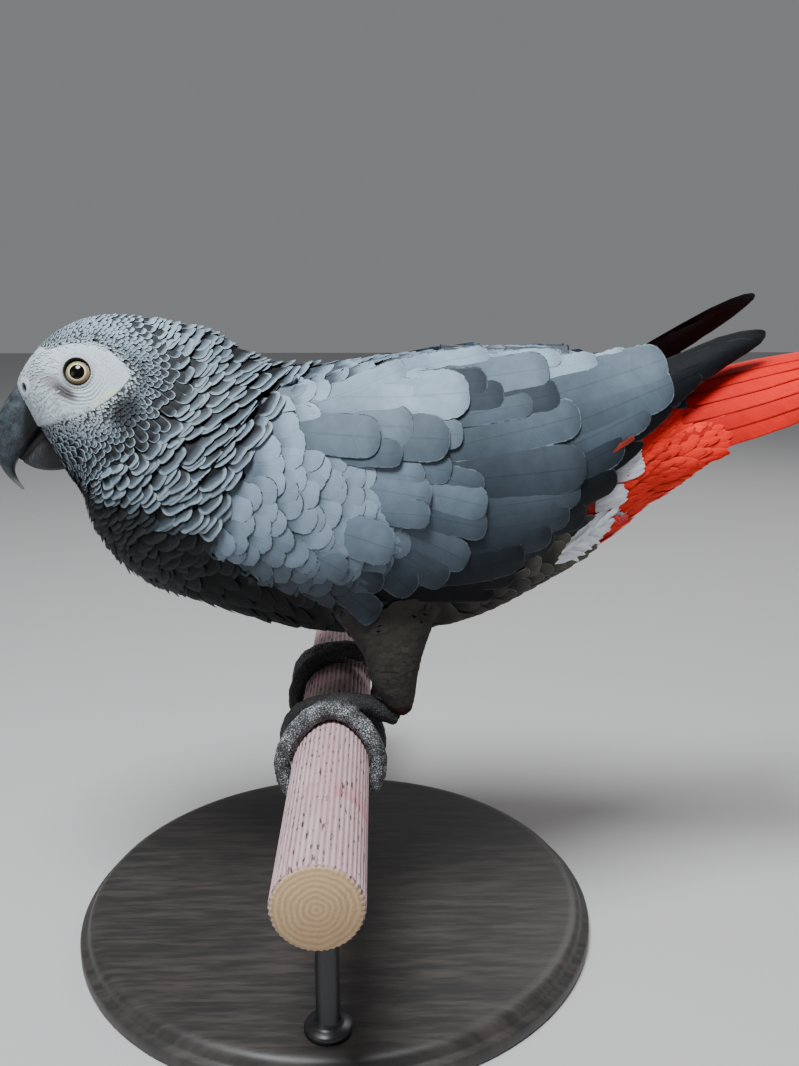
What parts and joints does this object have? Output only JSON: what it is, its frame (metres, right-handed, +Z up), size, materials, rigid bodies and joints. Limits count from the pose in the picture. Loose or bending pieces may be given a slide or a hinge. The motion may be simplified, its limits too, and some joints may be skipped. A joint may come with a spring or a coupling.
{
  "type": "grey parrot",
  "caption": "Life-size still model of a grey parrot gripping a short round perch, body level, head forward, red tail raised, on a plain round display stand.",
  "frame": {"origin": "centre of the round base's flat underside, straight under the perch and the bird's feet", "axes": "+X from beak to tail along the level body, +Y to the bird's right along the perch, +Z up"},
  "size_m": [0.3393, 0.28, 0.2713],
  "materials": {
    "plumage_grey": "soft matte feathers",
    "plumage_dark": "soft matte feathers",
    "plumage_pale": "downy matte feathers",
    "plumage_red": "matte red feathers",
    "foot_skin": "dry pebbled scales",
    "beak": "satin horn",
    "horn": "satin horn",
    "eye": "wet and glossy",
    "perch": "painted, finely ribbed lengthwise",
    "stand": "satin dark stained wood",
    "stand_rods": "satin dark grey"
  },
  "bodies": {
    "root": {"claw_left_inner_front": "horn", "claw_left_inner_rear": "horn", "claw_left_outer_front": "horn", "claw_left_outer_rear": "horn", "claw_right_inner_front": "horn", "claw_right_inner_rear": "horn", "claw_right_outer_front": "horn", "claw_right_outer_rear": "horn", "eye_left": "eye", "eye_right": "eye", "foot_left": "foot_skin", "foot_right": "foot_skin", "head": "plumage_grey", "lower_beak": "beak", "neck": "plumage_grey", "perch": "perch", "stand_base": "stand", "stand_rod_far": "stand_rods", "stand_rod_near": "stand_rods", "tail": "plumage_red", "thigh_left": "plumage_pale", "thigh_right": "plumage_pale", "trunk": "plumage_grey", "upper_beak": "beak", "vent": "plumage_pale", "wing_left_coverts": "plumage_grey", "wing_left_primaries": "plumage_dark", "wing_left_secondaries": "plumage_grey", "wing_right_coverts": "plumage_grey", "wing_right_primaries": "plumage_dark", "wing_right_secondaries": "plumage_grey"}
  },
  "joints": []
}
